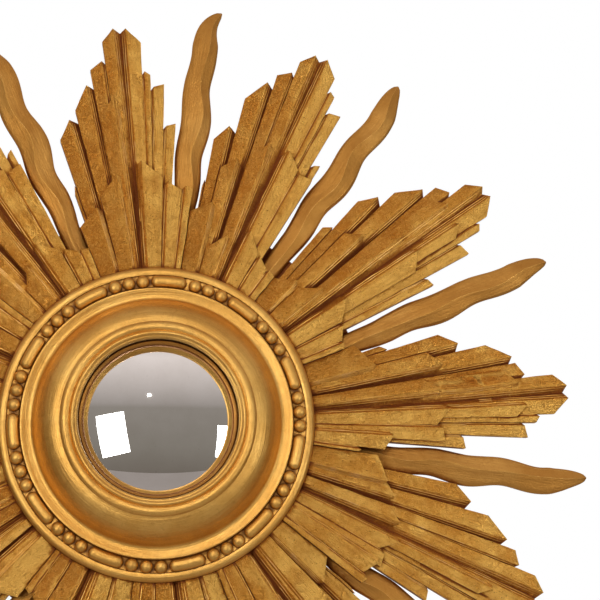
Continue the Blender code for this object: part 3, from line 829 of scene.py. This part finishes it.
def make_bundle(number):
    node = "ray_bundle_%02d" % (number + 1)
    angle = FIRST_BUNDLE - number * 360.0 / BUNDLE_COUNT + BUNDLE_TURNS[number % len(BUNDLE_TURNS)]
    piece = copy_of(node, "carved_rays_%02d" % (number + 1))
    cut_across(piece, angle)
    unsteady_hand(piece, RAY_WAVER)
    soften_arrises(piece, ARRIS, 24.0, GILT_RAYS, GILT_ARRIS_WEAR_AND_HIGHLIGHT)
    add_reeds(piece, REED_BLANK, angle)
    work_on(piece)
    bpy.ops.object.shade_smooth_by_angle(angle=radians(32))
    return dress(leave_back_bare(piece), node, "gilt_rays", GILT_RAYS, GILT_ARRIS_WEAR_AND_HIGHLIGHT, BOARD_WOOD)


# Flames

def flame_half_width(radius):
    """Half the flame's width at a radius, wider past the root and drawn in to the tip."""
    swell = FLAME_SWELL * exp(-((radius - FLAME_SWELL_AT) / FLAME_SWELL_SPREAD) ** 2)
    widened = min(1.0, (radius - FLAME_ROOT) / FLAME_WIDENING)
    full = FLAME_ROOT_WIDTH + (FLAME_WIDTH - FLAME_ROOT_WIDTH) * widened + swell
    tip = max(0.0, min(1.0, (FLAME_REACH - radius) / FLAME_TIP))
    return full * max(0.05, sqrt(tip)) / 2


def flame_spine(radius, wave, sway):
    """How far the flame's middle line lies to the left of its straight line at a radius."""
    out = min(1.0, (radius - FLAME_ROOT) / 0.100)
    crest = FLAME_WAVE_CREST_AT
    beyond = max(0.0, (radius - crest) / (FLAME_REACH - crest))
    return wave * out * cos(2 * pi * (radius - crest) / FLAME_WAVE_LENGTH) + sway * beyond ** 5


def make_flame(number):
    """A flame carved from a flat bar: two faces that meet on a wandering ridge, with upright sides."""
    angle, wave, sway = FLAMES[number]
    bpy.ops.object.select_all(action="DESELECT")
    bpy.ops.mesh.primitive_grid_add(x_subdivisions=72, y_subdivisions=10, size=1.0)
    piece = bpy.context.object
    piece.name = "carved_flame_%02d" % (number + 1)
    edit_all(piece)
    bpy.ops.mesh.extrude_region_move(TRANSFORM_OT_translate={"value": (0.0, 0.0, -1.0)})
    leave_edit()
    turn = radians(angle)
    for vert in piece.data.vertices:
        share = min(1.0, max(0.0, vert.co.x + 0.5)) ** 0.8
        radius = FLAME_ROOT + (FLAME_REACH - FLAME_ROOT) * share
        half = flame_half_width(radius)
        scale = 2 * half / FLAME_WIDTH
        column = 2 * vert.co.y
        ridge = FLAME_RIDGES[number] + 0.14 * sin(radius * 70.0 + number * 1.7)
        across = column + ridge * (1.0 - abs(column))
        height = CARRIED_FROM
        if vert.co.z > -0.5:
            rise = 1.0 - abs(column)
            height += (FLAME_EDGE_THICK + FLAME_RISE * rise + FLAME_CREST * rise ** 6) * scale
            height -= FLAME_EDGE_DROP * max(0.0, 1.0 - rise / 0.10) * scale
        middle = flame_spine(radius, wave, sway)
        lean = atan2(flame_spine(radius + 0.002, wave, sway) - middle, 0.002)
        offset = across * half
        along = radius - offset * sin(lean)
        beside = middle + offset * cos(lean)
        vert.co = Vector((along * cos(turn) - beside * sin(turn), -height,
                          along * sin(turn) + beside * cos(turn)))
    close_and_face_out(piece)
    unsteady_hand(piece, FLAME_WAVER)
    soften_arrises(piece, FLAME_ARRIS, 17.0, GILT_FLAMES, GILT_ARRIS_WEAR_AND_HIGHLIGHT)
    work_on(piece)
    bpy.ops.object.shade_smooth_by_angle(angle=radians(20))
    return dress(leave_back_bare(piece), "flame_%02d" % (number + 1), "gilt_rays",
                 GILT_FLAMES, GILT_ARRIS_WEAR_AND_HIGHLIGHT, BOARD_WOOD)


# Hollows and painted shade, measured by looking out from each point of the surface

def sky_directions(count):
    """Evenly spread directions over the half of the sky round +Z, denser overhead."""
    directions = []
    for i in range(count):
        lean = sqrt((i + 0.5) / count)
        turn = i * 2.39996
        directions.append(Vector((lean * cos(turn), lean * sin(turn), sqrt(1.0 - lean * lean))))
    return directions


def measure_hollows(pieces, reach, count):
    """Store on each vertex how much of its outlook is closed within reach, and how steep it stands.

    Only the rays' sides count as steep. The thin reeds close no outlook, so that the flat they
    lie on keeps its gold. The gilt darkens by these values: glaze and bole with painted shade in
    the hollows and where parts meet, and painted shade on the rays' steep falls.
    """
    corners, faces = [], []
    for piece in pieces:
        base = len(corners)
        corners.extend(vert.co.copy() for vert in piece.data.vertices)
        reeds = piece.data.attributes.get("reed")
        for polygon in piece.data.polygons:
            if reeds is None or not reeds.data[polygon.index].value:
                faces.append([base + index for index in polygon.vertices])
    tree = BVHTree.FromPolygons(corners, faces)
    directions = sky_directions(count)
    for piece in pieces:
        fall_painted_shade = FALL_PAINTED_SHADE if piece.name.startswith("carved_rays") else 0.0
        depth = FRAME_HOLLOW_DEPTH if piece.name == "turned_frame" else HOLLOW_DEPTH
        values = []
        for vert in piece.data.vertices:
            facing = vert.normal.to_track_quat("Z", "Y")
            start = vert.co + vert.normal * 0.0003
            closed = 0.0
            for direction in directions:
                distance = tree.ray_cast(start, facing @ direction, reach)[3]
                if distance is not None:
                    closed += 1.0 - 0.5 * distance / reach
            # Painted shade: the steep faces of the rays are darkened, as shade on their falls
            steep = min(1.0, max(0.0, (vert.normal.y + 0.94) / 0.16))
            values.append(closed / count * depth + steep * fall_painted_shade)
        layer = piece.data.attributes.new("hollow", "FLOAT", "POINT")
        layer.data.foreach_set("value", values)


# Room: pale floor, soft lights and camera

def area_light(name, place, roll, width, height, power, colour):
    """A rectangular light turned to the mirror's middle and rolled by some degrees."""
    light = bpy.data.lights.new(name, "AREA")
    light.shape = "RECTANGLE"
    light.size = width
    light.size_y = height
    light.energy = power
    light.color = colour
    lamp = bpy.data.objects.new(name, light)
    lamp.location = place
    facing = (-Vector(place)).to_track_quat("-Z", "Y") @ Euler((0.0, 0.0, radians(roll))).to_quaternion()
    lamp.rotation_euler = facing.to_euler()
    bpy.context.scene.collection.objects.link(lamp)
    return lamp


def make_world():
    """White behind the mirror, and a grey room round it for the gold and the glass."""
    world = bpy.data.worlds.new("studio")
    bpy.context.scene.world = world
    world.use_nodes = True
    tree = world.node_tree
    tree.nodes.clear()
    place = add_node(tree, "ShaderNodeTexCoord").outputs["Generated"]
    up = add_node(tree, "ShaderNodeSeparateXYZ", {0: place}).outputs[2]
    ramp = add_node(tree, "ShaderNodeValToRGB", {"Fac": ranged(tree, up, -1.0, 1.0)})
    stops = ((0.0, (0.18, 0.15, 0.125)), (0.30, (0.18, 0.155, 0.13)), (0.42, (0.235, 0.21, 0.18)),
             (0.61, (0.285, 0.255, 0.225)), (0.63, (0.36, 0.32, 0.295)), (0.84, (0.80, 0.71, 0.67)),
             (1.0, (0.50, 0.44, 0.41)))
    while len(ramp.color_ramp.elements) < len(stops):
        ramp.color_ramp.elements.new(0.5)
    for element, (position, colour) in zip(ramp.color_ramp.elements, stops):
        element.position = position
        element.color = (*colour, 1.0)
    room = add_node(tree, "ShaderNodeBackground", {"Color": ramp.outputs[0], "Strength": 1.0})
    white = add_node(tree, "ShaderNodeBackground", {"Color": (1.0, 1.0, 1.0, 1.0), "Strength": 1.0})
    seen = add_node(tree, "ShaderNodeLightPath").outputs["Is Camera Ray"]
    mixed = add_node(tree, "ShaderNodeMixShader", {0: seen, 1: room.outputs[0], 2: white.outputs[0]})
    output = add_node(tree, "ShaderNodeOutputWorld")
    tree.links.new(mixed.outputs[0], output.inputs["Surface"])


def make_floor():
    bpy.ops.object.select_all(action="DESELECT")
    bpy.ops.mesh.primitive_plane_add(size=5.2, location=(0.0, -0.5, -1.45))
    floor = bpy.context.object
    floor.name = "pale_floor"
    material, tree, shader = new_material("pale_floor")
    place = add_node(tree, "ShaderNodeTexCoord").outputs["Object"]
    cloudy = mottle(tree, place, 3.0, 4.0)
    tint = blend_colours(tree, cloudy, (0.52, 0.51, 0.50, 1.0), (0.57, 0.56, 0.55, 1.0))
    tree.links.new(tint, shader.inputs["Base Color"])
    shader.inputs["Roughness"].default_value = 0.6
    floor.data.materials.append(material)


def make_camera():
    data = bpy.data.cameras.new("front_left_below")
    data.sensor_width = 36.0
    data.lens = 90.0
    camera = bpy.data.objects.new("front_left_below", data)
    camera.location = (-0.041, -1.542, -0.177)
    camera.rotation_euler = (radians(90 + 11.4), 0.0, radians(-7.0))
    bpy.context.scene.collection.objects.link(camera)
    bpy.context.scene.camera = camera


bpy.context.scene.view_settings.view_transform = "Standard"
make_camera()
make_world()
make_floor()
area_light("softbox_left", place=(-0.70, -1.50, -0.085), roll=10.0, width=0.48, height=0.69,
           power=6.8, colour=(1.0, 0.985, 0.96))
area_light("window_right", place=(1.37, -1.50, -0.19), roll=0.0, width=0.45, height=0.62,
           power=6.0, colour=(0.98, 0.99, 1.0))
area_light("ceiling_lamp", place=(-0.12, -1.60, 0.576), roll=0.0, width=0.045, height=0.045,
           power=4.6, colour=(1.0, 0.94, 0.86))

REED_BLANK = make_reed_blank()
made = [make_frame(), make_glass(), make_slip(), make_board()]
made += [make_bundle(number) for number in range(BUNDLE_COUNT)]
bpy.data.objects.remove(REED_BLANK, do_unlink=True)
made += [make_flame(number) for number in range(len(FLAMES))]
measure_hollows(made, OUTLOOK, OUTLOOK_DIRECTIONS)
